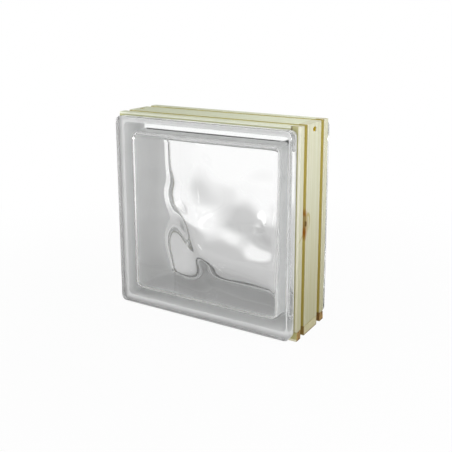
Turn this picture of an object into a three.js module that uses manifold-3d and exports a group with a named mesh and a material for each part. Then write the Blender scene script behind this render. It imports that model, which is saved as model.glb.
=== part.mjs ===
// A square hollow glass block, pressed in two halves and fused, with its edge
// channel filled by a frame of four grooved pine rails.
// Millimetres. +X runs to the right along the front face, +Y to the back, +Z up.
// The origin is the middle of the underside, where the bottom rail rests.

import * as THREE from 'three';
import { mergeVertices } from 'three/addons/utils/BufferGeometryUtils.js';
import Module from 'manifold-3d';

const wasm = await Module();
wasm.setup();

// ---- Glass block ----
const faceSize = 190;        // width and height over the flanges
const blockDepth = 80;       // front face to back face
const flangeEdge = 10.5;     // thickness of a flange at its outer edge
const flangeCorner = 6;      // corner radius of the faces
const flangeRound = 2;       // rounding between a face and its edge
const flangeInnerRound = 1;  // rounding of a flange's edge next to the channel
const channelDraft = 5;      // lean of the channel's walls, degrees
const channelCorner = 4;     // corner radius of the channel's floor
const plateThickness = 8;    // face plate, apart from its relief
const wallThickness = 7;     // side wall at the fused seam
const cavityDraft = 2.5;     // lean of the cavity's walls, degrees
const cavityCorner = 8;      // corner radius of the cavity
const cavityFillet = 6.5;    // fillet between a wall and its plate
const seamBead = 0.6;        // rise of the bead that the fused seam leaves in the hollow
const seamBeadHalf = 1.3;    // half its width

// ---- Relief pressed into the inner face of each plate ----
// Swells and hollows, seen from outside and measured from the middle of the plate:
// across, up, half length, half width, turn in degrees, and rise.
const swells = {
  leftCrest: [-45, -12, 20, 14, 90, 2.3],
  leftCrestFoot: [-24, -22, 12, 10, 90, 1.6],
  upperLeftBand: [-34, 28, 26, 11, -5, 2],
  leftEdge: [-66, 24, 22, 10, 90, 0.5],
  rightCrest: [37, -2, 15, 10, 0, 2.8],
  upperRightBand: [59, 36, 32, 11, 75, 2],
  rightSpur: [68, -14, 10, 7, 0, 2.4],
  upperMiddle: [12, 38, 12, 13, 0, 1],
  lowerRidge: [3, -60, 16, 8, 115, 1.1],
  troughLeft: [4, -29, 10, 9, 0, -2.2],
  troughRight: [35, -33, 19, 9, 0, -2.8],
  belowTrough: [30, -53, 20, 8, 0, -1.7],
  lowerLeftHollow: [-24, -61, 22, 11, 112, -2.1],
  lowerRightHollow: [70, -48, 18, 12, 0, -1.1],
  bottomHollow: [45, -76, 20, 9, 0, -1.2],
  rightDimple: [70, 6, 8, 8, 0, -2.1],
  middleDimple: [-12, -1, 13, 8, 110, -1.5],
  topHollow: [-4, 62, 18, 12, 100, -1.3],
  upperRightDimple: [41, 46, 12, 10, 0, -1.3],
};
const deepestHollow = 3.2;   // just below the lowest point of the relief
const hollowRun = 12;        // from the fillet to where the relief may be that deep
const hollowCorner = 1;      // corner radius there
const reliefCells = 48;      // facets along each side of the wavy face

// ---- Pine rails ----
const railThickness = 8.6;
const railProud = 2.6;       // height of the ridges above the flanges
const edgeRidge = 8.2;       // width of the front and the back ridge
const grooveWidth = 7;
const grooveDepth = 3.2;
const ridgeRound = 0.7;      // rounding along the ridges
const railChamfer = 1;       // inner corners, clear of the channel's root
const slotLength = 6.8;      // fixing slot, across the rail
const slotWidth = 4.4;
const slotInset = 5.6;       // middle of the slot from the rail's lapping end

// ---- Clearances ----
const railSeat = 0.3;        // rail to glass
const railJoint = 0.3;       // end of a rail to the side of its neighbour

// ---- Worked out from the above ----
const halfFace = faceSize / 2;
const halfDepth = blockDepth / 2;
const channelDepth = railThickness - railProud + railSeat;
const channelFloor = halfFace - channelDepth;
const channelLean = channelDepth * Math.tan(THREE.MathUtils.degToRad(channelDraft));
const channelHalf = halfDepth - flangeEdge;
const railHalfWidth = channelHalf - railSeat;
const railOuter = halfFace + railProud;
const railInner = railOuter - railThickness;
const plateInner = halfDepth - plateThickness;
const cavityLean = plateInner * Math.tan(THREE.MathUtils.degToRad(cavityDraft));
const cavityHalf = channelFloor - wallThickness;
const arcSteps = 4;
const cornerSteps = 6;

const glass = { color: 0xdde4e2, roughness: 0.06, metalness: 0 };
const pine = { color: 0xd8cfa6, roughness: 0.72, metalness: 0 };

// ---- Joining and cutting ----

function toSolid(geometry) {
  const bare = geometry.clone();
  bare.deleteAttribute('normal');
  bare.deleteAttribute('uv');
  const merged = mergeVertices(bare, 1e-4);
  return new wasm.Manifold(new wasm.Mesh({
    numProp: 3,
    vertProperties: new Float32Array(merged.attributes.position.array),
    triVerts: new Uint32Array(merged.index.array),
  }));
}

function toGeometry(solid) {
  const mesh = solid.getMesh();
  const geometry = new THREE.BufferGeometry();
  geometry.setAttribute('position', new THREE.BufferAttribute(mesh.vertProperties, 3));
  geometry.setIndex(new THREE.BufferAttribute(mesh.triVerts, 1));
  geometry.computeVertexNormals();
  return geometry;
}

// ---- Glass ----

// One ring of a pressed form: how far it reaches from the middle, its corner
// radius and its depth.
function ring(reach, corner, depth) {
  return { reach, corner, depth };
}

// A quarter round between two rings, seen in section, turning from angle to angle.
function roundOver(middleReach, middleDepth, radius, fromAngle, toAngle, cornerAt) {
  const rings = [];
  for (let step = 0; step <= arcSteps; step++) {
    const angle = THREE.MathUtils.lerp(fromAngle, toAngle, step / arcSteps);
    const reach = middleReach + radius * Math.cos(angle);
    rings.push(ring(reach, cornerAt(reach), middleDepth + radius * Math.sin(angle)));
  }
  return rings;
}

// A turned form whose four quarters are pushed apart, which makes its rings
// squares with round corners.
function squaredLathe(rings) {
  const points = rings.map((r) => new THREE.Vector2(r.corner, r.depth));
  const turned = new THREE.LatheGeometry(points, 4 * cornerSteps, Math.PI / (4 * cornerSteps));
  const position = turned.attributes.position;
  const widen = 1 / Math.cos(Math.PI / (4 * cornerSteps));
  for (let i = 0; i < position.count; i++) {
    const { reach, corner } = rings[i % rings.length];
    const push = reach - corner;
    const x = position.getX(i);
    const z = position.getZ(i);
    position.setX(i, x * widen + Math.sign(x) * push);
    position.setZ(i, z * widen + Math.sign(z) * push);
  }
  return turned;
}

// The outside of one half: face plate, flange and its side of the channel. The
// face is at -halfDepth and the seam at 0.
function halfBody() {
  const flangeCornerAt = (reach) => flangeCorner - (halfFace - reach);
  return squaredLathe([
    ring(0, 0, -halfDepth),
    ...roundOver(halfFace - flangeRound, -halfDepth + flangeRound, flangeRound,
      -Math.PI / 2, 0, flangeCornerAt),
    ...roundOver(halfFace - flangeInnerRound, -channelHalf - flangeInnerRound, flangeInnerRound,
      0, Math.PI / 2, flangeCornerAt),
    ring(channelFloor, channelCorner, -channelHalf + channelLean),
    ring(channelFloor, channelCorner, 0),
    ring(0, 0, 0),
  ]);
}

// The hollow of one half, deep enough for the whole relief and running on past the
// seam so that it cuts clean.
function cavityBody() {
  const plateReach = cavityHalf - cavityLean;
  const deep = -plateInner - deepestHollow;
  const beadLean = cavityLean * seamBeadHalf / plateInner;
  return squaredLathe([
    ring(0, 0, deep),
    ring(plateReach - cavityFillet - hollowRun, hollowCorner, deep),
    ...roundOver(plateReach - cavityFillet, -plateInner + cavityFillet, cavityFillet,
      -Math.PI / 2, 0, (reach) => cavityCorner - (plateReach - reach)),
    ring(cavityHalf - beadLean, cavityCorner, -seamBeadHalf),
    ring(cavityHalf - seamBead, cavityCorner - seamBead, 0),
    ring(cavityHalf - seamBead, cavityCorner - seamBead, wallThickness),
    ring(0, 0, wallThickness),
  ]);
}

// Height of the relief at a place on the plate.
function reliefAt(x, z) {
  let height = 0;
  for (const [across, up, halfLength, halfWidth, turn, rise] of Object.values(swells)) {
    const place = new THREE.Vector2(x - across, z - up);
    place.rotateAround(new THREE.Vector2(), -THREE.MathUtils.degToRad(turn));
    const along = place.x / halfLength;
    const aside = place.y / halfWidth;
    height += rise * Math.exp(-(along * along + aside * aside) / 2);
  }
  return height;
}

// A block whose front face carries the relief. It trims the hollow to it.
function reliefBlock() {
  const side = 2 * channelFloor;
  const back = 2 * wallThickness;
  const block = new THREE.BoxGeometry(side, plateInner + back, side, reliefCells, 1, reliefCells);
  block.translate(0, (back - plateInner) / 2, 0);
  const position = block.attributes.position;
  for (let i = 0; i < position.count; i++) {
    if (position.getY(i) < 0) {
      position.setY(i, -plateInner + reliefAt(position.getX(i), position.getZ(i)));
    }
  }
  return block;
}

function glassHalf() {
  const hollow = toSolid(cavityBody()).intersect(toSolid(reliefBlock()));
  return toGeometry(toSolid(halfBody()).subtract(hollow));
}

// ---- Rails ----

// Outer edge of a rail's section, from its back side to its front side: ridge,
// groove, wide ridge, groove, ridge. The outer face is at height 0, wood below it.
function drawRidges(shape) {
  const ridges = [
    [railHalfWidth, railHalfWidth - edgeRidge],
    [railHalfWidth - edgeRidge - grooveWidth, -railHalfWidth + edgeRidge + grooveWidth],
    [-railHalfWidth + edgeRidge, -railHalfWidth],
  ];
  ridges.forEach(([back, front], index) => {
    if (index > 0) {
      shape.lineTo(back, -grooveDepth);
    }
    shape.lineTo(back, -ridgeRound);
    shape.absarc(back - ridgeRound, -ridgeRound, ridgeRound, 0, Math.PI / 2, false);
    shape.lineTo(front + ridgeRound, 0);
    shape.absarc(front + ridgeRound, -ridgeRound, ridgeRound, Math.PI / 2, Math.PI, false);
    if (index < ridges.length - 1) {
      shape.lineTo(front, -grooveDepth);
    }
  });
}

// Section of a rail: the ridges above the flanges, and below them sides that
// follow the lean of the channel down to chamfered inner corners.
function railSection() {
  const lean = Math.tan(THREE.MathUtils.degToRad(channelDraft));
  const chamferTop = -railThickness + railChamfer;
  const sideAt = (height) => railHalfWidth + lean * (height + railProud);
  const shape = new THREE.Shape();
  shape.moveTo(-sideAt(chamferTop), chamferTop);
  shape.lineTo(-sideAt(-railThickness) + railChamfer, -railThickness);
  shape.lineTo(sideAt(-railThickness) - railChamfer, -railThickness);
  shape.lineTo(sideAt(chamferTop), chamferTop);
  shape.lineTo(railHalfWidth, -railProud);
  drawRidges(shape);
  shape.lineTo(-railHalfWidth, -railProud);
  shape.closePath();
  return shape;
}

// The same ridged edge with a deep back, to run the grooves over a rail's end.
function endSection() {
  const shape = new THREE.Shape();
  shape.moveTo(-railHalfWidth, -2 * railOuter);
  shape.lineTo(railHalfWidth, -2 * railOuter);
  drawRidges(shape);
  shape.closePath();
  return shape;
}

function extrude(shape, length) {
  return new THREE.ExtrudeGeometry(shape, { depth: length, bevelEnabled: false, curveSegments: 3 });
}

function slotShape() {
  const shape = new THREE.Shape();
  const radius = slotWidth / 2;
  const straight = slotLength / 2 - radius;
  shape.absarc(0, straight, radius, 0, Math.PI, false);
  shape.absarc(0, -straight, radius, Math.PI, 2 * Math.PI, false);
  shape.closePath();
  return shape;
}

// The bottom rail, seen from the middle of the block. Its right end laps under
// the right rail, and its left end stops at the left rail's inner side.
function rail() {
  const start = -railInner + railJoint;
  const bar = extrude(railSection(), railOuter - start);
  // Section axes: across the rail is +Y, outwards is -Z, and the length is +X.
  bar.applyMatrix4(new THREE.Matrix4().makeBasis(
    new THREE.Vector3(0, 1, 0), new THREE.Vector3(0, 0, -1), new THREE.Vector3(-1, 0, 0)));
  bar.translate(railOuter, 0, -railOuter);

  const end = extrude(endSection(), 4 * railThickness);
  // Across is +Y, outwards is +X, and the length is +Z.
  end.applyMatrix4(new THREE.Matrix4().makeBasis(
    new THREE.Vector3(0, 1, 0), new THREE.Vector3(1, 0, 0), new THREE.Vector3(0, 0, -1)));
  end.translate(railOuter, 0, -railOuter + 2 * railThickness);

  const slot = extrude(slotShape(), 4 * railThickness);
  slot.translate(railOuter - slotInset, 0, -railOuter - 2 * railThickness);

  return toGeometry(toSolid(bar).intersect(toSolid(end)).subtract(toSolid(slot)));
}

// ---- Assembly ----

const block = new THREE.Group();
const middle = new THREE.Group();
middle.position.z = railOuter;
block.add(middle);

const halfShape = glassHalf();
const halves = [
  ['front_glass_half', 0],
  ['back_glass_half', Math.PI],
];
for (const [name, turn] of halves) {
  const half = new THREE.Mesh(halfShape, new THREE.MeshStandardMaterial(glass));
  half.name = name;
  half.rotation.z = turn;
  middle.add(half);
}

const railShape = rail();
const railNames = ['bottom_rail', 'right_rail', 'top_rail', 'left_rail'];
railNames.forEach((name, index) => {
  const piece = new THREE.Mesh(railShape, new THREE.MeshStandardMaterial(pine));
  piece.name = name;
  piece.rotation.y = -index * Math.PI / 2;
  middle.add(piece);
});

export default block;
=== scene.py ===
import bpy
import bmesh
import math
from mathutils import Matrix, Vector


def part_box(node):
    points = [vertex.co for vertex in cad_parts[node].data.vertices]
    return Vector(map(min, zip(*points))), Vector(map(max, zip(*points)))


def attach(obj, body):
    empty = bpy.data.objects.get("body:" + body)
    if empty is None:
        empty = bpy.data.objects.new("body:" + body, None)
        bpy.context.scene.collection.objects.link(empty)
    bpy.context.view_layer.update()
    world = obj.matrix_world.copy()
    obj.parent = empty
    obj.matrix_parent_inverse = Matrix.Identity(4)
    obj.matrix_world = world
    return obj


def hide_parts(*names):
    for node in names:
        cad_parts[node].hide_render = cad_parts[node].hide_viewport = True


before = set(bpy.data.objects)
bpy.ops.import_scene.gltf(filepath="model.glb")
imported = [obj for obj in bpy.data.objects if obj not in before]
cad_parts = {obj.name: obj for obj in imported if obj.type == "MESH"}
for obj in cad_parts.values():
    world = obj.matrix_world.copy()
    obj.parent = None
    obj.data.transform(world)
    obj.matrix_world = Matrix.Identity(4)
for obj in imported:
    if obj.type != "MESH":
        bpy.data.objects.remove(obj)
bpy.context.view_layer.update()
print("frame loaded")

mm = 0.001
glassLow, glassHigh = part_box("front_glass_half")
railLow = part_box("bottom_rail")[0]
halfFace = (glassHigh[0] - glassLow[0]) / 2
halfDepth = -glassLow[1]
middleZ = (glassLow[2] + glassHigh[2]) / 2
middle = Vector((0, 0, middleZ))
railOuter = middleZ - railLow[2]                 # from the block's middle to a rail's outer face


def newObject(name, data):
    made = bpy.data.objects.new(name, data)
    bpy.context.scene.collection.objects.link(made)
    return made


def meshObject(name, bm):
    mesh = bpy.data.meshes.new(name)
    bm.to_mesh(mesh)
    bm.free()
    return newObject(name, mesh)


def roundEdges(bm, edges, radius, segments, **settings):
    bmesh.ops.bevel(bm, geom=edges, offset=radius, affect="EDGES", segments=segments,
                    profile=0.5, material=-1, **settings)


def cutAcross(bm, y):
    bmesh.ops.bisect_plane(bm, geom=bm.verts[:] + bm.edges[:] + bm.faces[:],
                           plane_co=(0, y, 0), plane_no=(0, 1, 0))


def smoothStep(value):
    value = min(max(value, 0), 1)
    return value * value * (3 - 2 * value)


# helpers for material nodes: a value is a number or another node's socket
def grey(level):
    return (level, level, level, 1)


def newMaterial(name):
    material = bpy.data.materials.new(name)
    material.use_nodes = True
    material.node_tree.nodes.clear()
    return material, material.node_tree


def setInput(tree, socket, value):
    if isinstance(value, bpy.types.NodeSocket):
        tree.links.new(value, socket)
    else:
        socket.default_value = value


def addNode(tree, kind, inputs=None, **settings):
    node = tree.nodes.new(kind)
    for key, value in settings.items():
        setattr(node, key, value)
    for key, value in (inputs or {}).items():
        setInput(tree, node.inputs[key], value)
    return node


def addMath(tree, operation, *values):
    node = addNode(tree, "ShaderNodeMath", dict(enumerate(values)), operation=operation)
    return node.outputs[0]


def addProduct(tree, product, *factors):
    for factor in factors:
        product = addMath(tree, "MULTIPLY", product, factor)
    return product


def addLength(tree, x, y):
    point = addNode(tree, "ShaderNodeCombineXYZ", {0: x, 1: y, 2: 0.0}).outputs[0]
    return addNode(tree, "ShaderNodeVectorMath", {0: point}, operation="LENGTH").outputs["Value"]


def addMix(tree, factor, first, second, blend="MIX", kind="Color"):
    node = addNode(tree, "ShaderNodeMix", data_type="RGBA" if kind == "Color" else "FLOAT",
                   blend_type=blend)
    wanted = {"Factor_Float": factor, "A_" + kind: first, "B_" + kind: second}
    for socket in node.inputs:
        if socket.identifier in wanted:
            setInput(tree, socket, wanted[socket.identifier])
    return next(s for s in node.outputs if s.identifier == "Result_" + kind)


def addRamp(tree, factor, stops, smooth=False):
    # stops are places and grey levels
    node = addNode(tree, "ShaderNodeValToRGB", {0: factor})
    ramp = node.color_ramp
    if smooth:
        ramp.interpolation = "EASE"
    while len(ramp.elements) < len(stops):
        ramp.elements.new(0.5)
    for element, (place, level) in zip(ramp.elements, stops):
        element.position = place
        element.color = grey(level)
    return node.outputs[0]


def addStep(tree, value, start, end, first=0.0, last=1.0, shape="SMOOTHSTEP"):
    node = addNode(tree, "ShaderNodeMapRange",
                   {"Value": value, "From Min": start, "From Max": end,
                    "To Min": first, "To Max": last}, interpolation_type=shape)
    return node.outputs["Result"]


def objectPlace(tree):
    return addNode(tree, "ShaderNodeTexCoord").outputs["Object"]


def separate(tree, vector):
    return addNode(tree, "ShaderNodeSeparateXYZ", {0: vector}).outputs


glassFinish = {
    "tint": grey(0.992),
    "ior": 1.52,
    "throughShadow": grey(0.88),
    "cast": (0.88, 0.97, 0.92, 1),       # what a long way through the glass does to light
    "castDensity": 2,
    "skin": 0.02 * mm,                   # height of the faint unevenness of fire-polished glass
    "skinScale": 38,
    "skinDetail": 1.5,
}


def glassMaterial():
    s = glassFinish
    material, tree = newMaterial("clearGlass")
    uneven = addNode(tree, "ShaderNodeTexNoise",
                     {"Vector": objectPlace(tree), "Scale": s["skinScale"],
                      "Detail": s["skinDetail"]})
    bump = addNode(tree, "ShaderNodeBump",
                   {"Height": uneven.outputs[0], "Strength": 1.0, "Distance": s["skin"]})
    body = addNode(tree, "ShaderNodeBsdfPrincipled",
                   {"Base Color": s["tint"], "Roughness": 0.0, "IOR": s["ior"],
                    "Transmission Weight": 1.0, "Normal": bump.outputs[0]})
    clear = addNode(tree, "ShaderNodeBsdfTransparent", {"Color": s["throughShadow"]})
    rays = addNode(tree, "ShaderNodeLightPath").outputs
    blend = addNode(tree, "ShaderNodeMixShader",
                    {0: rays["Is Shadow Ray"], 1: body.outputs[0], 2: clear.outputs[0]})
    depth = addNode(tree, "ShaderNodeVolumeAbsorption",
                    {"Color": s["cast"], "Density": s["castDensity"]})
    addNode(tree, "ShaderNodeOutputMaterial",
            {"Surface": blend.outputs[0], "Volume": depth.outputs[0]})
    return material


coatFinish = {
    "paintedLightByFlanges": grey(0.93),                 # painted light by the flanges
    "paintedShadeMidway": grey(0.86),                  # painted shade along the seam
    "shadeMidwayHalf": 12 * mm,
    "lightByFlangesFrom": 27 * mm,
    "onFlange": grey(0.88),              # on the flanges' own inner sides, by the channel
    "paintedRimShade": grey(0.50),                 # and painted shade at their rims
    "rimFrom": 88.7 * mm,
    "flangeFrom": 28.6 * mm,
    "flangeFull": 29.3 * mm,
    "patch": grey(0.3),
    "patchShare": 0.14,
    "patchScale": 60,
    "patchDetail": 4,
    "roughness": 0.6,
}


def coatMaterial():
    s = coatFinish
    material, tree = newMaterial("edgeCoat")
    place = objectPlace(tree)
    x, y, z = separate(tree, place)
    across = addMath(tree, "ABSOLUTE", y)
    reach = addMath(tree, "MAXIMUM", addMath(tree, "ABSOLUTE", x),
                    addMath(tree, "ABSOLUTE", addMath(tree, "SUBTRACT", z, middleZ)))
    # painted light: the coat is paler by the flanges, and painted shade darkens it along the seam
    flangeLightShare = addStep(tree, across, s["shadeMidwayHalf"], s["lightByFlangesFrom"])
    inChannel = addMix(tree, flangeLightShare, s["paintedShadeMidway"], s["paintedLightByFlanges"])
    # painted shade: the flanges' inner sides darken towards their rims
    rim = addStep(tree, reach, s["rimFrom"], halfFace)
    onSides = addMix(tree, rim, s["onFlange"], s["paintedRimShade"])
    onFlange = addStep(tree, across, s["flangeFrom"], s["flangeFull"], shape="LINEAR")
    colour = addMix(tree, onFlange, inChannel, onSides)
    patches = addNode(tree, "ShaderNodeTexNoise",
                      {"Vector": place, "Scale": s["patchScale"], "Detail": s["patchDetail"]})
    colour = addMix(tree, addProduct(tree, patches.outputs[0], s["patchShare"]),
                    colour, s["patch"])
    body = addNode(tree, "ShaderNodeBsdfPrincipled",
                   {"Base Color": colour, "Roughness": s["roughness"]})
    addNode(tree, "ShaderNodeOutputMaterial", {"Surface": body.outputs[0]})
    return material


block = {
    "flangeEdge": 10.5 * mm,
    "flangeCorner": 6 * mm,
    "cornerSteps": 8,
    "flangeRound": 2 * mm,
    "flangeRoundSteps": 5,
    "flangeInnerRound": 1 * mm,
    "channelDepth": 6.3 * mm,
    "channelLean": 0.55 * mm,
    "channelCorner": 4 * mm,
    "rootRound": 1.2 * mm,
    "innerRoundSteps": 3,
    "flatBorder": 0.4 * mm,              # narrow borders keep the big faces' shading flat
    "plate": 8 * mm,
    "wall": 7 * mm,
    "cavityLean": 1.4 * mm,
    "cavityCorner": 8 * mm,
    "cavityFillet": 6.5 * mm,
    "bead": 0.6 * mm,                    # how far the fused seam stands into the hollow
    "beadHalf": 1.3 * mm,
    "cells": 150,                        # of the hollow's grid, across a plate
    "cellsDeep": 36,                     # and from plate to plate
    "weld": 0.01 * mm,
}
channelHalf = halfDepth - block["flangeEdge"]
channelFloor = halfFace - block["channelDepth"]
cavityHalf = channelFloor - block["wall"]
plateInner = halfDepth - block["plate"]

# The relief pressed into the inner face of each plate, in millimetres, seen from outside and
# measured from its middle: across, up, half length, half width, turn in degrees, and rise.
swells = {
    "left crest": (-45, -12, 20, 14, 90, 2.3),
    "its foot": (-24, -22, 12, 10, 90, 1.6),
    "upper left band": (-34, 28, 26, 11, -5, 2.0),
    "left edge": (-66, 24, 22, 10, 90, 0.5),
    "right crest": (37, -2, 15, 10, 0, 2.8),
    "upper right band": (59, 36, 32, 11, 75, 2.0),
    "right spur": (68, -14, 10, 7, 0, 2.4),
    "upper middle": (12, 38, 12, 13, 0, 1.0),
    "lower ridge": (3, -60, 16, 8, 115, 1.1),
    "trough, left": (4, -29, 10, 9, 0, -2.2),
    "trough, right": (35, -33, 19, 9, 0, -2.8),
    "below the trough": (30, -53, 20, 8, 0, -1.7),
    "lower left hollow": (-24, -61, 22, 11, 112, -2.1),
    "lower right hollow": (70, -48, 18, 12, 0, -1.1),
    "bottom hollow": (45, -76, 20, 9, 0, -1.2),
    "right dimple": (70, 6, 8, 8, 0, -2.1),
    "middle dimple": (-12, -1, 13, 8, 110, -1.5),
    "top hollow": (-4, 62, 18, 12, 100, -1.3),
    "upper right dimple": (41, 46, 12, 10, 0, -1.3),
}
waveFade = 14 * mm                       # how far down the walls the swells run out


def waveAt(x, z):
    height = 0
    for across, up, long, short, turn, rise in swells.values():
        dx, dz = x / mm - across, z / mm - up
        cosine, sine = math.cos(math.radians(turn)), math.sin(math.radians(turn))
        along = (dx * cosine + dz * sine) / long
        aside = (dz * cosine - dx * sine) / short
        height += rise * math.exp(-(along * along + aside * aside) / 2)
    return height * mm


def shapeChannelFloor(bm, floorVerts):
    # each corner of the band closes to its own smaller radius, then the whole floor narrows
    s = block
    shrink = s["channelCorner"] / s["flangeCorner"]
    corners = [(signX, signZ) for signX in (-1, 1) for signZ in (-1, 1)]
    for signX, signZ in corners:
        group = [v for v in floorVerts if v.co.x * signX > 0 and v.co.z * signZ > 0]
        outwards = Vector((signX, 0, signZ))
        flangeMiddle = outwards * (halfFace - s["flangeCorner"])
        floorMiddle = outwards * (channelFloor - s["channelCorner"])
        bmesh.ops.scale(bm, vec=(shrink, 1, shrink), verts=group,
                        space=Matrix.Translation(-flangeMiddle))
        bmesh.ops.translate(bm, vec=floorMiddle - flangeMiddle, verts=group)
    bmesh.ops.scale(bm, vec=(1, 1 - s["channelLean"] / channelHalf, 1), verts=floorVerts)


def outerShell(bm):
    s = block
    bmesh.ops.create_cube(bm, size=1)
    bmesh.ops.scale(bm, vec=(2 * halfFace, 2 * halfDepth, 2 * halfFace), verts=bm.verts)
    edgesThrough = [e for e in bm.edges
                    if abs(e.verts[0].co.y - e.verts[1].co.y) > halfDepth]
    roundEdges(bm, edgesThrough, s["flangeCorner"], s["cornerSteps"])
    for side in (-1, 1):
        cutAcross(bm, side * channelHalf)
    # the band between the flanges becomes the edge channel
    band = [f for f in bm.faces
            if abs(f.normal.y) < 0.5 and abs(f.calc_center_median().y) < channelHalf / 2]
    grown = bmesh.ops.extrude_face_region(bm, geom=band)["geom"]
    floorVerts = [g for g in grown if isinstance(g, bmesh.types.BMVert)]
    bmesh.ops.delete(bm, geom=band, context="FACES_KEEP_BOUNDARY")
    shapeChannelFloor(bm, floorVerts)
    bmesh.ops.recalc_face_normals(bm, faces=bm.faces)

    rounds = [(halfDepth, s["flangeRound"], s["flangeRoundSteps"]),
              (channelHalf, s["flangeInnerRound"], s["innerRoundSteps"]),
              (channelHalf - s["channelLean"], s["rootRound"], s["innerRoundSteps"])]
    for depth, radius, segments in rounds:
        rim = [e for e in bm.edges
               if all(abs(abs(v.co.y) - depth) < s["weld"] for v in e.verts)]
        roundEdges(bm, rim, radius, segments)
    bigFace = 1000 * mm * mm
    for flat in [f for f in bm.faces if f.calc_area() > bigFace]:
        bmesh.ops.inset_region(bm, faces=[flat], thickness=s["flatBorder"], use_even_offset=True)
    # the coat covers the channel and the flanges' inner sides, just short of their rims
    coatDepth, coatReach = channelHalf + s["flangeInnerRound"], halfFace - 0.1 * mm
    for face in bm.faces:
        at = face.calc_center_median()
        coated = abs(at.y) < coatDepth and max(abs(at.x), abs(at.z)) < coatReach
        face.material_index = 1 if coated else 0


def gridBox(bm, cells, cellsDeep, half, halfY):
    # six gridded sides, joined along their edges
    quarter = math.pi / 2
    sides = [(Matrix.Rotation(quarter, 4, "X"), cells, cells),
             (Matrix.Rotation(-quarter, 4, "X"), cells, cells)]
    for count in range(4):
        sides.append((Matrix.Rotation(count * quarter, 4, "Y"), cells, cellsDeep))
    for spin, columns, rows in sides:
        bmesh.ops.create_grid(bm, x_segments=columns, y_segments=rows, size=1,
                              matrix=spin @ Matrix.Translation((0, 0, 1)))
    bmesh.ops.scale(bm, vec=(half, halfY, half), verts=bm.verts)
    bmesh.ops.remove_doubles(bm, verts=bm.verts, dist=block["weld"])


def ontoArc(first, second):
    # takes a point on a square corner's line to the arc inside it
    squeeze = max(first, second) / math.hypot(first, second)
    return first * squeeze, second * squeeze


def cavityPlace(x, y, z):
    # where a point of the gridded box ends up on the hollow's wall or plate
    s = block
    corner, fillet = s["cavityCorner"], s["cavityFillet"]
    core = cavityHalf - corner
    flat = plateInner - fillet
    outX, outZ = abs(x) - core, abs(z) - core
    if outX > 0 and outZ > 0:
        outX, outZ = ontoArc(outX, outZ)
        inward = corner - math.hypot(outX, outZ)
        away = Vector((outX, 0, outZ)).normalized()
        place = Vector((core + outX, 0, core + outZ))
    else:
        inward = corner - max(outX, outZ)
        away = Vector((1, 0, 0)) if outX > outZ else Vector((0, 0, 1))
        place = Vector((abs(x), 0, abs(z)))
    # the wall rolls over into the plate
    rolled, height = inward, abs(y)
    overWall, overPlate = fillet - inward, height - flat
    if overWall > 0 and overPlate > 0:
        overWall, overPlate = ontoArc(overWall, overPlate)
        rolled, height = fillet - overWall, flat + overPlate
    bead = s["bead"] * smoothStep(1 - height / s["beadHalf"])
    place = place - away * (rolled - inward + bead)
    lean = 1 - s["cavityLean"] / cavityHalf * height / plateInner
    newX, newZ = place.x * math.copysign(lean, x), place.z * math.copysign(lean, z)
    newY = math.copysign(height, y)
    if height > plateInner - waveFade:
        fade = smoothStep((height - plateInner + waveFade) / waveFade)
        # the back half is the same pressing turned about the upright axis
        side = 1 if y < 0 else -1
        newY += side * fade * waveAt(side * newX, newZ)
    return newX, newY, newZ


def cavityShell(bm):
    gridBox(bm, block["cells"], block["cellsDeep"], cavityHalf, plateInner)
    for part in (-1, -0.5, 0.5, 1):
        cutAcross(bm, part * block["beadHalf"])
    for vert in bm.verts:
        vert.co = cavityPlace(*vert.co)
    # the hollow's skin faces into the hollow
    bmesh.ops.recalc_face_normals(bm, faces=bm.faces)
    bmesh.ops.reverse_faces(bm, faces=bm.faces)


def glassBlock():
    skin = bmesh.new()
    outerShell(skin)
    hollow = bmesh.new()
    cavityShell(hollow)
    inner = bpy.data.meshes.new("hollow")
    hollow.to_mesh(inner)
    hollow.free()
    skin.from_mesh(inner)
    bpy.data.meshes.remove(inner)
    bmesh.ops.translate(skin, vec=middle, verts=skin.verts)
    for face in skin.faces:
        face.smooth = True
    made = meshObject("glass_block", skin)
    made.data.materials.append(glassMaterial())
    made.data.materials.append(coatMaterial())
    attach(made, "root")
    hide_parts("front_glass_half", "back_glass_half")
    return made


glass = glassBlock()
print("glass block made:", len(glass.data.polygons), "faces")


rails = {
    "thickness": 8.6 * mm,
    "proud": 2.6 * mm,
    "halfWidth": 29.2 * mm,
    "edgeRidge": 8.2 * mm,
    "groove": 7 * mm,
    "grooveDepth": 3.2 * mm,
    "lean": 0.52 * mm,
    "chamfer": 1 * mm,
    "joint": 0.3 * mm,
    "softEdge": 0.7 * mm,
    "softEdgeSteps": 3,
    "slotLength": 6.8 * mm,
    "slotWidth": 4.4 * mm,
    "slotInset": 5.6 * mm,
    "slotEndSteps": 6,
    "weld": 0.005 * mm,
    "flatWithin": 1,                     # degrees up to which two faces count as one
    "sharpFrom": 50,                     # and from which their edge is softened
}
narrowInner = rails["halfWidth"] - rails["edgeRidge"]    # a narrow ridge's side by the groove
wideHalf = narrowInner - rails["groove"]                 # half of the wide middle ridge

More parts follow.
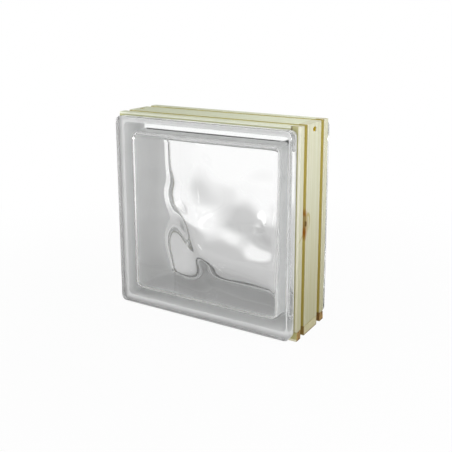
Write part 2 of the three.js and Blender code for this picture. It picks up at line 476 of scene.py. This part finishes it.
pineFinish = {
    "early": (0.72, 0.725, 0.58, 1),
    "late": (0.60, 0.59, 0.38, 1),
    "blush": (0.72, 0.66, 0.52, 1),
    "paintedHighlight": (0.90, 0.88, 0.76, 1),      # painted highlight on the ridges' edges, and painted light on the rails' sides
    # painted shade in the grooves
    "groove": (0.58, 0.50, 0.12, 1),
    "shade": (0.50, 0.48, 0.24, 1),      # along the glass
    "end": (0.43, 0.24, 0.075, 1),
    "endDark": (0.15, 0.06, 0.003, 1),   # painted shade at the grooves' ends, and the end grain's dark spots and outer edge
    "slot": (0.76, 0.56, 0.03, 1),
    "ringWidth": 2.6 * mm,
    "ringSwing": 7 * mm,
    "ringRamp": [(0, 0), (0.55, 0.25), (0.86, 1), (0.95, 0.1)],
    "pith": (21 * mm, 34 * mm),          # the rings' middle, to the front and beyond the rail
    # the painted edge highlights' strength, by distance from a ridge's front edge
    "highlightRamp": [(-0.2 * mm, 0), (0.2 * mm, 0.75), (1.5 * mm, 0)],
    "relief": 0.12 * mm,                 # how deep the grain is felt
    "reliefStrength": 0.35,
    "fibreRelief": 0.6,
    "lateRelief": 0.4,
    "roughness": 0.7,
    "roughnessSpread": 0.08,
}
# shares of one colour laid over another
shares = {"late": 0.45, "blush": 0.35, "streak": 0.5, "fibre": 0.35, "grooveFibre": 0.25,
          "side": 0.6, "endLate": 0.5}
# where each mark on a rail starts and ends, and its strength at both
marks = {
    "belowFace": (0.2 * mm, 1.0 * mm, 0, 1),              # by depth
    "inGroove": (23 * mm, 24.5 * mm, 1, 0),          # by distance from the middle line
    "onSide": (26 * mm, 28 * mm, 0, 1),              # likewise
    "byGlass": (1.7 * mm, 2.2 * mm, 0, 1),           # by depth
    "isEnd": (0.6, 0.9, 0, 1),                       # by how far a face looks along the rail
    "endBrown": (12 * mm, 15 * mm, 0.14, 0.95),      # by distance from the middle line
    # painted shade where the grooves open in the end
    "endByGroove": (3.6 * mm, 4.4 * mm, 0.85, 0),    # by distance from a groove's middle line
    "grooveEnd": (-3.8 * mm, -3.2 * mm, 0, 1),       # along, from the lapping end
    "outerEdgeDark": (0.5 * mm, 1.5 * mm, 0.8, 0),          # by depth
    "inSlot": (1.15, 1.3, 1, 0),                     # in half slots from its middle
    "slotDepth": (0.3 * mm, 0.8 * mm, 0, 1),         # by depth
    "paintedLightFade": (-90 * mm, 60 * mm, 1, 0),           # along the rail
}
# noise in the wood: scales along, across and into the board, detail, offset, and ramp
grains = {
    "swing": {"scales": (9, 22, 0), "detail": 2, "offset": 0},
    "fibre": {"scales": (30, 1500, 1500), "detail": 3, "offset": 0,
              "ramp": [(0.36, 0), (0.64, 1)]},
    "blush": {"scales": (26, 90, 0), "detail": 2, "offset": 3.1,
              "ramp": [(0.45, 0), (0.7, 0.8)]},
    "streak": {"scales": (6, 420, 300), "detail": 2, "offset": 7.7,
               "ramp": [(0.4, 0), (0.62, 1)]},
    "soot": {"scales": (0, 260, 260), "detail": 2, "offset": 5.3,
             "ramp": [(0.46, 0), (0.62, 0.9)]},
}
# marks round a knot: places are along and across from its own, sizes are half lengths, and
# fades are written as the marks on a rail are
knotFinish = {
    "pull": 5 * mm,                      # how far it bends the rings
    "pullSize": (20 * mm, 9 * mm),
    "pullFade": (0, 1, 1, 0),
    "stain": (0.40, 0.15, 0.003, 1),
    "stainAt": (0, 2 * mm),
    "stainSize": (16 * mm, 5.5 * mm),
    "stainFade": (0.5, 1, 1, 0),
    "stainDepth": (0, 0.8 * mm, 0.35, 1),
    "halo": (0.48, 0.40, 0.15, 1),
    "haloAt": (2 * mm, 7 * mm),
    "haloSize": (7 * mm, 4 * mm),
    "haloFade": (0.6, 1, 0.3, 0),
    "rimFade": (0.08, 0.4, 0.9, 0),
    "rimAlong": (-9 * mm, 6 * mm, 0.2, 1),
    "heart": (0.14, 0.075, 0.004, 1),
    "heartAt": (1 * mm, 3.6 * mm),
    "heartSize": (3 * mm, 1.8 * mm),
    "heartFade": (0.5, 1.1, 1, 0),
    "heartDepth": (0.8 * mm, 1.8 * mm, 1, 0),
    "checkAt": (-10 * mm, -6 * mm),
    "checkSlope": 0.8,
    "checkWidth": (0.4 * mm, 1.3 * mm, 0.7, 0),
    "checkStart": (-3 * mm, -2 * mm, 1, 0),
    "checkStop": (-11 * mm, -9 * mm, 0, 1),
    "raggedScale": 380,
    "raggedDetail": 3,
    "raggedRamp": [(0.3, 0.7), (0.6, 1)],
}


def turnBack(tree, vector, turn):
    return addNode(tree, "ShaderNodeVectorRotate",
                   {"Vector": vector, "Axis": (0, 1, 0), "Angle": -turn}).outputs[0]


def boardPlace(tree, turn, seed):
    # along the rail, across it, and depth from its outer face, as they lie on the bottom rail
    place = objectPlace(tree)
    centred = addNode(tree, "ShaderNodeVectorMath", {0: place, 1: tuple(-middle)},
                      operation="ADD").outputs[0]
    along, across, up = separate(tree, turnBack(tree, centred, turn))
    facing = addNode(tree, "ShaderNodeNewGeometry").outputs["Normal"]
    endwise = separate(tree, turnBack(tree, facing, turn))[0]
    return {
        "object": place,
        "along": along,
        "across": across,
        "aside": addMath(tree, "ABSOLUTE", across),
        "depth": addMath(tree, "ADD", up, railOuter),
        "isEnd": addStep(tree, addMath(tree, "ABSOLUTE", endwise), *marks["isEnd"]),
        "seed": seed,
    }


def farFrom(tree, board, at, size):
    # distance from a place on the face, in half lengths along and across
    parts = [addMath(tree, "DIVIDE", addMath(tree, "SUBTRACT", board[way], at[count]), size[count])
             for count, way in enumerate(("along", "across"))]
    return addLength(tree, *parts)


def farFromKnot(tree, board, knot, shift, size):
    return farFrom(tree, board, (knot[0] + shift[0], knot[1] + shift[1]), size)


def stepFrom(tree, value, origin, mark):
    # a mark whose start and end are measured from a place of its own
    start, end, first, last = mark
    return addStep(tree, value, origin + start, origin + end, first, last)


def grain(tree, board, name):
    kind = grains[name]
    alongScale, acrossScale, depthScale = kind["scales"]
    inwards = addMath(tree, "ADD", addProduct(tree, board["depth"], depthScale),
                      board["seed"] + kind["offset"])
    scaled = addNode(tree, "ShaderNodeCombineXYZ",
                     {0: addProduct(tree, board["along"], alongScale),
                      1: addProduct(tree, board["across"], acrossScale), 2: inwards})
    noise = addNode(tree, "ShaderNodeTexNoise",
                    {"Vector": scaled.outputs[0], "Scale": 1, "Detail": kind["detail"]})
    return addRamp(tree, noise.outputs[0], kind["ramp"]) if "ramp" in kind else noise.outputs[0]


def yearRings(tree, board, knot):
    # they swing slowly along the board and bulge round a knot
    s = pineFinish
    swung = addMath(tree, "ADD", board["across"],
                    addProduct(tree, grain(tree, board, "swing"), s["ringSwing"]))
    if knot:
        pull = addStep(tree, farFrom(tree, board, knot, knotFinish["pullSize"]),
                       *knotFinish["pullFade"])
        swung = addMath(tree, "ADD", swung, addProduct(tree, pull, knotFinish["pull"]))
    pithAcross, pithOut = s["pith"]
    radius = addLength(tree, addMath(tree, "ADD", swung, pithAcross),
                       addMath(tree, "ADD", board["depth"], pithOut))
    rings = addMath(tree, "FRACT", addMath(tree, "DIVIDE", radius, s["ringWidth"]))
    return addRamp(tree, rings, s["ringRamp"], smooth=True)


def plainWood(tree, board, late, fibre):
    s = pineFinish
    blush, streak = grain(tree, board, "blush"), grain(tree, board, "streak")
    colour = addMix(tree, addProduct(tree, late, shares["late"]), s["early"], s["late"])
    colour = addMix(tree, addProduct(tree, blush, shares["blush"]), colour, s["blush"])
    colour = addMix(tree, addProduct(tree, streak, shares["streak"]), colour, s["late"])
    return addMix(tree, addProduct(tree, fibre, shares["fibre"]), colour, s["late"])


def paintedEdgeHighlights(tree, board, colour):
    # a painted highlight runs along the front edge of every ridge; the ramp spans a bit over a
    # rail
    span = 2.2 * rails["halfWidth"]
    stops = []
    for edge in (-rails["halfWidth"], -wideHalf, narrowInner):
        stops += [((edge + offset) / span + 0.5, level)
                  for offset, level in pineFinish["highlightRamp"]]
    share = addMath(tree, "ADD", addMath(tree, "DIVIDE", board["across"], span), 0.5)
    return addMix(tree, addRamp(tree, share, stops), colour, pineFinish["paintedHighlight"])


def paintedGrooveShadeAndSideLight(tree, board, colour, fibre):
    # painted shade makes the grooves' sides and floors darker and yellower and runs along the
    # glass, and painted light keeps the rail's own sides pale
    s = pineFinish
    aside, depth = board["aside"], board["depth"]
    belowFace = addStep(tree, depth, *marks["belowFace"])
    inGroove = addProduct(tree, belowFace, addMath(tree, "SUBTRACT", 1, board["isEnd"]),
                          addStep(tree, aside, *marks["inGroove"]))
    groove = addMix(tree, addProduct(tree, fibre, shares["grooveFibre"]), s["groove"], s["end"])
    colour = addMix(tree, inGroove, colour, groove)
    onSide = addProduct(tree, belowFace, addStep(tree, aside, *marks["onSide"]))
    colour = addMix(tree, addProduct(tree, onSide, shares["side"]), colour, s["paintedHighlight"])
    byGlass = addProduct(tree, onSide, addStep(tree, depth, *marks["byGlass"]))
    return addMix(tree, byGlass, colour, s["shade"]), inGroove


def endGrain(tree, board, colour, late, inGroove, brown):
    # quiet on the wide ridge, brown on the narrow ones, darkest by the grooves, where shade is
    # painted
    s = pineFinish
    aside = board["aside"]
    endColour = addMix(tree, addProduct(tree, late, shares["endLate"]), s["end"], s["groove"])
    grooveMiddle = narrowInner - rails["groove"] / 2
    offGroove = addMath(tree, "ABSOLUTE", addMath(tree, "SUBTRACT", aside, grooveMiddle))
    dark = addMath(tree, "MAXIMUM", addStep(tree, offGroove, *marks["endByGroove"]),
                   grain(tree, board, "soot"))
    endColour = addMix(tree, dark, endColour, s["endDark"])
    grooveEnd = stepFrom(tree, board["along"], railOuter, marks["grooveEnd"])
    inEnd = addMath(tree, "MAXIMUM", board["isEnd"], addProduct(tree, grooveEnd, inGroove))
    # it is darker along its edge at the outer face
    outerEdgeDark = addProduct(tree, board["isEnd"], addStep(tree, board["depth"], *marks["outerEdgeDark"]))
    strength = addMath(tree, "MAXIMUM", addStep(tree, aside, *marks["endBrown"]), outerEdgeDark)
    endColour = addMix(tree, outerEdgeDark, endColour, s["endDark"])
    return addMix(tree, addProduct(tree, inEnd, strength, brown), colour, endColour)


def slotInside(tree, board, colour):
    size = (rails["slotWidth"] / 2, rails["slotLength"] / 2)
    fromSlot = farFrom(tree, board, (railOuter - rails["slotInset"], 0), size)
    inSlot = addProduct(tree, addStep(tree, fromSlot, *marks["inSlot"]),
                        addStep(tree, board["depth"], *marks["slotDepth"]))
    return addMix(tree, inSlot, colour, pineFinish["slot"])


def knotMarks(tree, board, colour, knot):
    s = knotFinish
    along, across, depth = board["along"], board["across"], board["depth"]
    knotAlong, knotAcross = knot
    noise = addNode(tree, "ShaderNodeTexNoise", {"Vector": board["object"],
                                                 "Scale": s["raggedScale"],
                                                 "Detail": s["raggedDetail"]})
    ragged = addRamp(tree, noise.outputs[0], s["raggedRamp"])
    # dark resin along the groove beside the knot
    fromStain = farFromKnot(tree, board, knot, s["stainAt"], s["stainSize"])
    stain = addProduct(tree, addStep(tree, fromStain, *s["stainFade"]),
                       addStep(tree, depth, *s["stainDepth"]), ragged)
    colour = addMix(tree, addMath(tree, "POWER", stain, 0.5), colour, s["stain"])
    # the knot's halo and rim on the wide ridge, and its dark heart at the groove's edge
    fromHalo = farFromKnot(tree, board, knot, s["haloAt"], s["haloSize"])
    colour = addMix(tree, addStep(tree, fromHalo, *s["haloFade"]), colour, s["halo"])
    offRim = addMath(tree, "ABSOLUTE", addMath(tree, "SUBTRACT", fromHalo, 1))
    rim = addProduct(tree, addStep(tree, offRim, *s["rimFade"]),
                     stepFrom(tree, along, knotAlong, s["rimAlong"]))
    colour = addMix(tree, rim, colour, s["halo"])
    fromHeart = farFromKnot(tree, board, knot, s["heartAt"], s["heartSize"])
    heart = addProduct(tree, addStep(tree, fromHeart, *s["heartFade"]),
                       addStep(tree, depth, *s["heartDepth"]), ragged)
    colour = addMix(tree, heart, colour, s["heart"])
    # a fine check running out of it over the front ridge
    checkAlong, checkAcross = s["checkAt"]
    aslant = addProduct(tree, addMath(tree, "SUBTRACT", across, knotAcross + checkAcross),
                        s["checkSlope"])
    offLine = addMath(tree, "SUBTRACT",
                      addMath(tree, "SUBTRACT", along, knotAlong + checkAlong), aslant)
    check = addProduct(tree, addStep(tree, addMath(tree, "ABSOLUTE", offLine), *s["checkWidth"]),
                       stepFrom(tree, across, knotAcross, s["checkStart"]),
                       stepFrom(tree, across, knotAcross, s["checkStop"]))
    return addMix(tree, check, colour, s["halo"])


def pineMaterial(name, turn, seed, tint, plainEndLight, brown, knot):
    s = pineFinish
    material, tree = newMaterial(name)
    board = boardPlace(tree, turn, seed)
    late, fibre = yearRings(tree, board, knot), grain(tree, board, "fibre")
    colour = plainWood(tree, board, late, fibre)
    colour = paintedEdgeHighlights(tree, board, colour)
    colour, inGroove = paintedGrooveShadeAndSideLight(tree, board, colour, fibre)
    colour = endGrain(tree, board, colour, late, inGroove, brown)
    colour = slotInside(tree, board, colour)
    if knot:
        colour = knotMarks(tree, board, colour, knot)
    # painted light and shade: each rail is scaled by its painted light level, which changes
    # towards its plain end, darker at the right rail's foot
    cast = addMix(tree, addStep(tree, board["along"], *marks["paintedLightFade"]), tint, plainEndLight)
    colour = addMix(tree, 1.0, colour, cast, blend="MULTIPLY")

    height = addMath(tree, "ADD", addProduct(tree, fibre, s["fibreRelief"]),
                     addProduct(tree, late, s["lateRelief"]))
    bump = addNode(tree, "ShaderNodeBump",
                   {"Height": height, "Strength": s["reliefStrength"], "Distance": s["relief"]})
    rough = addRamp(tree, fibre, [(0, s["roughness"] - s["roughnessSpread"]),
                                  (1, s["roughness"] + s["roughnessSpread"])])
    body = addNode(tree, "ShaderNodeBsdfPrincipled",
                   {"Base Color": colour, "Roughness": rough, "Normal": bump.outputs[0]})
    addNode(tree, "ShaderNodeOutputMaterial", {"Surface": body.outputs[0]})
    return material


def ridgeLine():
    # across and height of the ridged face, from back to front; 0 is the outer face
    edge, floor = rails["halfWidth"], -rails["grooveDepth"]
    half = [(edge, 0), (narrowInner, 0), (narrowInner, floor), (wideHalf, floor), (wideHalf, 0)]
    return half + [(-across, height) for across, height in reversed(half)]


def sectionBar(name, outline, place, length):
    # place turns (across, height) into a point, and length runs from there
    bm = bmesh.new()
    verts = [bm.verts.new(place(across, height)) for across, height in outline]
    face = bm.faces.new(verts)
    grown = bmesh.ops.extrude_face_region(bm, geom=[face])["geom"]
    moved = [g for g in grown if isinstance(g, bmesh.types.BMVert)]
    bmesh.ops.translate(bm, vec=length, verts=moved)
    bmesh.ops.recalc_face_normals(bm, faces=bm.faces)
    return meshObject(name, bm)


def slotCutter(deep):
    s = rails
    bm = bmesh.new()
    bmesh.ops.create_cube(bm, size=1)
    bmesh.ops.scale(bm, vec=(s["slotWidth"], s["slotLength"], deep), verts=bm.verts)
    corners = [e for e in bm.edges if abs(e.verts[0].co.z - e.verts[1].co.z) > deep / 2]
    # just under half the width, so that the slot's ends are all but full arcs
    roundEdges(bm, corners, 0.499 * s["slotWidth"], s["slotEndSteps"])
    bmesh.ops.translate(bm, vec=(railOuter - s["slotInset"], 0, -railOuter), verts=bm.verts)
    return meshObject("slot", bm)


def cutAway(thing, operation, tool):
    cut = thing.modifiers.new(operation.title(), "BOOLEAN")
    cut.operation = operation
    cut.object = tool
    cut.solver = "EXACT"


def railBlank():
    # a bottom rail about the block's middle, before its edges are softened
    s = rails
    start = s["joint"] - (railOuter - s["thickness"])
    root = s["halfWidth"] - s["lean"]
    below = [(s["halfWidth"], -s["proud"]), (root, -s["thickness"] + s["chamfer"]),
             (root - s["chamfer"], -s["thickness"])]
    outline = ridgeLine() + [(-across, height) for across, height in below] + below[::-1]
    bar = sectionBar("bar", outline, lambda across, height: (start, across, -railOuter - height),
                     (railOuter - start, 0, 0))
    # the grooves run on over the lapping end: the tool for it reaches well past the rail
    deep = 4 * s["thickness"]
    far = -2 * railOuter
    outline = ridgeLine() + [(-s["halfWidth"], far), (s["halfWidth"], far)]
    end = sectionBar("end", outline,
                     lambda across, height: (railOuter + height, across, -railOuter - deep / 2),
                     (0, 0, deep))
    slot = slotCutter(deep)
    cutAway(bar, "INTERSECT", end)
    cutAway(bar, "DIFFERENCE", slot)
    depsgraph = bpy.context.evaluated_depsgraph_get()
    mesh = bpy.data.meshes.new_from_object(bar.evaluated_get(depsgraph))
    for thing in (bar, end, slot):
        bpy.data.objects.remove(thing, do_unlink=True)
    return mesh


def finishRail(name, blank, turn, material):
    s = rails
    bm = bmesh.new()
    bm.from_mesh(blank)
    bmesh.ops.remove_doubles(bm, verts=bm.verts, dist=s["weld"])
    bmesh.ops.dissolve_limit(bm, angle_limit=math.radians(s["flatWithin"]), verts=bm.verts,
                             edges=bm.edges)
    sharp = [e for e in bm.edges
             if e.is_manifold and e.calc_face_angle() > math.radians(s["sharpFrom"])]
    roundEdges(bm, sharp, s["softEdge"], s["softEdgeSteps"], clamp_overlap=True)
    bmesh.ops.rotate(bm, cent=(0, 0, 0), matrix=Matrix.Rotation(turn, 3, "Y"), verts=bm.verts)
    bmesh.ops.translate(bm, vec=middle, verts=bm.verts)
    made = meshObject(name, bm)
    made.data.materials.append(material)
    return made


# each rail's own place in the noise, its tint, which is its painted light level, the painted light
# level at its plain end, how brown its lapping end is, and the place of its knot along and across
boards = {
    "bottom_rail": {"seed": 0.4, "tint": (0.80, 0.77, 0.66, 1), "plainEndLight": (0.85, 0.83, 0.76, 1),
                    "brown": 1.0, "knot": None},
    "right_rail": {"seed": 3.1, "tint": grey(0.84), "plainEndLight": (0.64, 0.615, 0.53, 1),
                   "brown": 0.2, "knot": (8 * mm, -17.5 * mm)},
    "top_rail": {"seed": 5.8, "tint": (0.85, 0.89, 0.88, 1), "plainEndLight": (0.90, 0.94, 0.94, 1),
                 "brown": 0.6, "knot": None},
    "left_rail": {"seed": 8.5, "tint": grey(0.97), "plainEndLight": (0.9, 0.88, 0.82, 1),
                  "brown": 0.6, "knot": None},
}
blank = railBlank()
for count, (node, board) in enumerate(boards.items()):
    turn = -count * math.pi / 2
    material = pineMaterial("pine_" + node, turn, **board)
    piece = finishRail("pine_" + node, blank, turn, material)
    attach(piece, "root")
    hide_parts(node)
bpy.data.meshes.remove(blank)
print("rails made:", len(boards))


studio = {
    "floorSize": 8,
    "floor": grey(0.63),
    "lift": 0.95,                        # how white the near floor is where it is looked at
    "liftThrough": 0.06,                 # and where it is seen through the glass
    "liftLight": 0.6,                    # and where it lights the coat through the glass
    "shadeFrom": 0.14,                   # the object's faint shadow fades out from here
    "liftFrom": 0.24,
    "liftFull": 0.50,                    # beyond this the floor is white, so no horizon shows
    "sky": grey(0.62),
    "sweepTop": 0.14,                    # sine of the height at which the pale sweep ends
    "roomFrom": 0.18,                    # and from which the room is dark
    "room": grey(0.03),
    "ceilingFrom": 0.5,                  # overhead it is pale again
    "ceilingFull": 0.7,
}


def rayKinds(tree):
    # rays from the camera, rays that glass mirrors or bends, and rays that have left a matte
    # surface
    rays = addNode(tree, "ShaderNodeLightPath").outputs
    inGlass = addMath(tree, "MAXIMUM", rays["Is Glossy Ray"], rays["Is Transmission Ray"])
    bounced = addMath(tree, "MINIMUM", rays["Diffuse Depth"], 1)
    return rays["Is Camera Ray"], inGlass, bounced


def studioFloor():
    s = studio
    bm = bmesh.new()
    bmesh.ops.create_grid(bm, x_segments=1, y_segments=1, size=s["floorSize"] / 2)
    floor = meshObject("floor", bm)
    material, tree = newMaterial("paleFloor")
    away = addNode(tree, "ShaderNodeVectorMath", {0: objectPlace(tree)},
                   operation="LENGTH").outputs["Value"]
    looked, inGlass, bounced = rayKinds(tree)
    shown = addStep(tree, away, s["shadeFrom"], s["liftFull"], s["lift"], 1.0)
    near = addMix(tree, looked, s["liftThrough"], shown, kind="Float")
    near = addMix(tree, bounced, near, s["liftLight"], kind="Float")
    far = addStep(tree, away, s["liftFrom"], s["liftFull"])
    lift = addProduct(tree, addMath(tree, "MAXIMUM", near, far),
                      addMath(tree, "MAXIMUM", looked, inGlass))
    matte = addNode(tree, "ShaderNodeBsdfDiffuse", {"Color": s["floor"]})
    white = addNode(tree, "ShaderNodeEmission", {"Color": grey(1), "Strength": 1.0})
    blend = addNode(tree, "ShaderNodeMixShader",
                    {0: lift, 1: matte.outputs[0], 2: white.outputs[0]})
    addNode(tree, "ShaderNodeOutputMaterial", {"Surface": blend.outputs[0]})
    floor.data.materials.append(material)


def studioSky():
    s = studio
    world = bpy.data.worlds.new("studio")
    bpy.context.scene.world = world
    world.use_nodes = True
    tree = world.node_tree
    tree.nodes.clear()
    # glass shows the pale sweep up to a low height, the dark room over it, and the ceiling
    sine = separate(tree, addNode(tree, "ShaderNodeTexCoord").outputs["Generated"])[2]
    shown = addMix(tree, addStep(tree, sine, s["sweepTop"], s["roomFrom"]), grey(1), s["room"])
    shown = addMix(tree, addStep(tree, sine, s["ceilingFrom"], s["ceilingFull"]),
                   shown, s["sky"])
    looked, inGlass, bounced = rayKinds(tree)
    colour = addMix(tree, inGlass, s["sky"], addMix(tree, bounced, shown, grey(0)))
    colour = addMix(tree, looked, colour, grey(1))
    sky = addNode(tree, "ShaderNodeBackground", {"Color": colour, "Strength": 1.0})
    addNode(tree, "ShaderNodeOutputWorld", {"Surface": sky.outputs[0]})


# the two cards lie just over the floor and stand for the light that a pale table throws up
lamps = {
    "keyLight": {"place": (0.9, -0.9, 0.42), "target": (0, 0, 0.1), "size": (0.9, 0.9),
                 "power": 6.0},
    "leftLight": {"place": (-1.3, -0.65, 0.3), "target": (0, 0, 0.1), "size": (0.8, 0.6),
                  "power": 8.5},
    "topLight": {"place": (0, 0, 1.4), "target": (0, 0, 0.1), "size": (0.9, 0.9),
                 "power": 1.9},
    "sideLight": {"place": (0.3, 0, 0.38), "target": (0.1, 0, 0.15), "size": (0.12, 0.3),
                  "power": 0.55},
    "frontCard": {"place": (-0.2, -0.38, 0.004), "target": (-0.2, -0.38, 1),
                  "size": (0.8, 0.5), "power": 2.0, "hidden": True},
    "backCard": {"place": (-0.2, 0.38, 0.004), "target": (-0.2, 0.38, 1),
                 "size": (0.8, 0.5), "power": 2.4, "hidden": True},
}


def softbox(name, place, target, size, power, hidden=False):
    data = bpy.data.lights.new(name, "AREA")
    data.shape = "RECTANGLE"
    data.size, data.size_y = size
    data.energy = power
    lamp = newObject(name, data)
    lamp.location = place
    aim = Vector(target) - Vector(place)
    lamp.rotation_euler = aim.to_track_quat("-Z", "Y").to_euler()
    if hidden:
        lamp.visible_camera = lamp.visible_glossy = lamp.visible_transmission = False


view = {
    "place": (0.3466, -0.5575, 0.2890),
    "yaw": 31.39,
    "pitch": 12.43,
    "roll": -0.21,
    "lens": 55.8,
    "sensor": 36,
    "shift": (0, -0.13),
    "clipStart": 0.01,
}


def makeCamera():
    s = view
    data = bpy.data.cameras.new("camera")
    data.lens = s["lens"]
    data.sensor_width = s["sensor"]
    data.shift_x, data.shift_y = s["shift"]
    data.clip_start = s["clipStart"]
    turned = (Matrix.Rotation(math.radians(s["yaw"]), 4, "Z")
              @ Matrix.Rotation(math.radians(90 - s["pitch"]), 4, "X")
              @ Matrix.Rotation(math.radians(s["roll"]), 4, "Z"))
    camera = newObject("camera", data)
    camera.matrix_world = Matrix.Translation(s["place"]) @ turned
    bpy.context.scene.camera = camera


studioFloor()
studioSky()
for name, lamp in lamps.items():
    softbox(name, **lamp)
makeCamera()
bpy.context.scene.view_settings.view_transform = "Standard"
print("studio set:", len(lamps), "lamps")
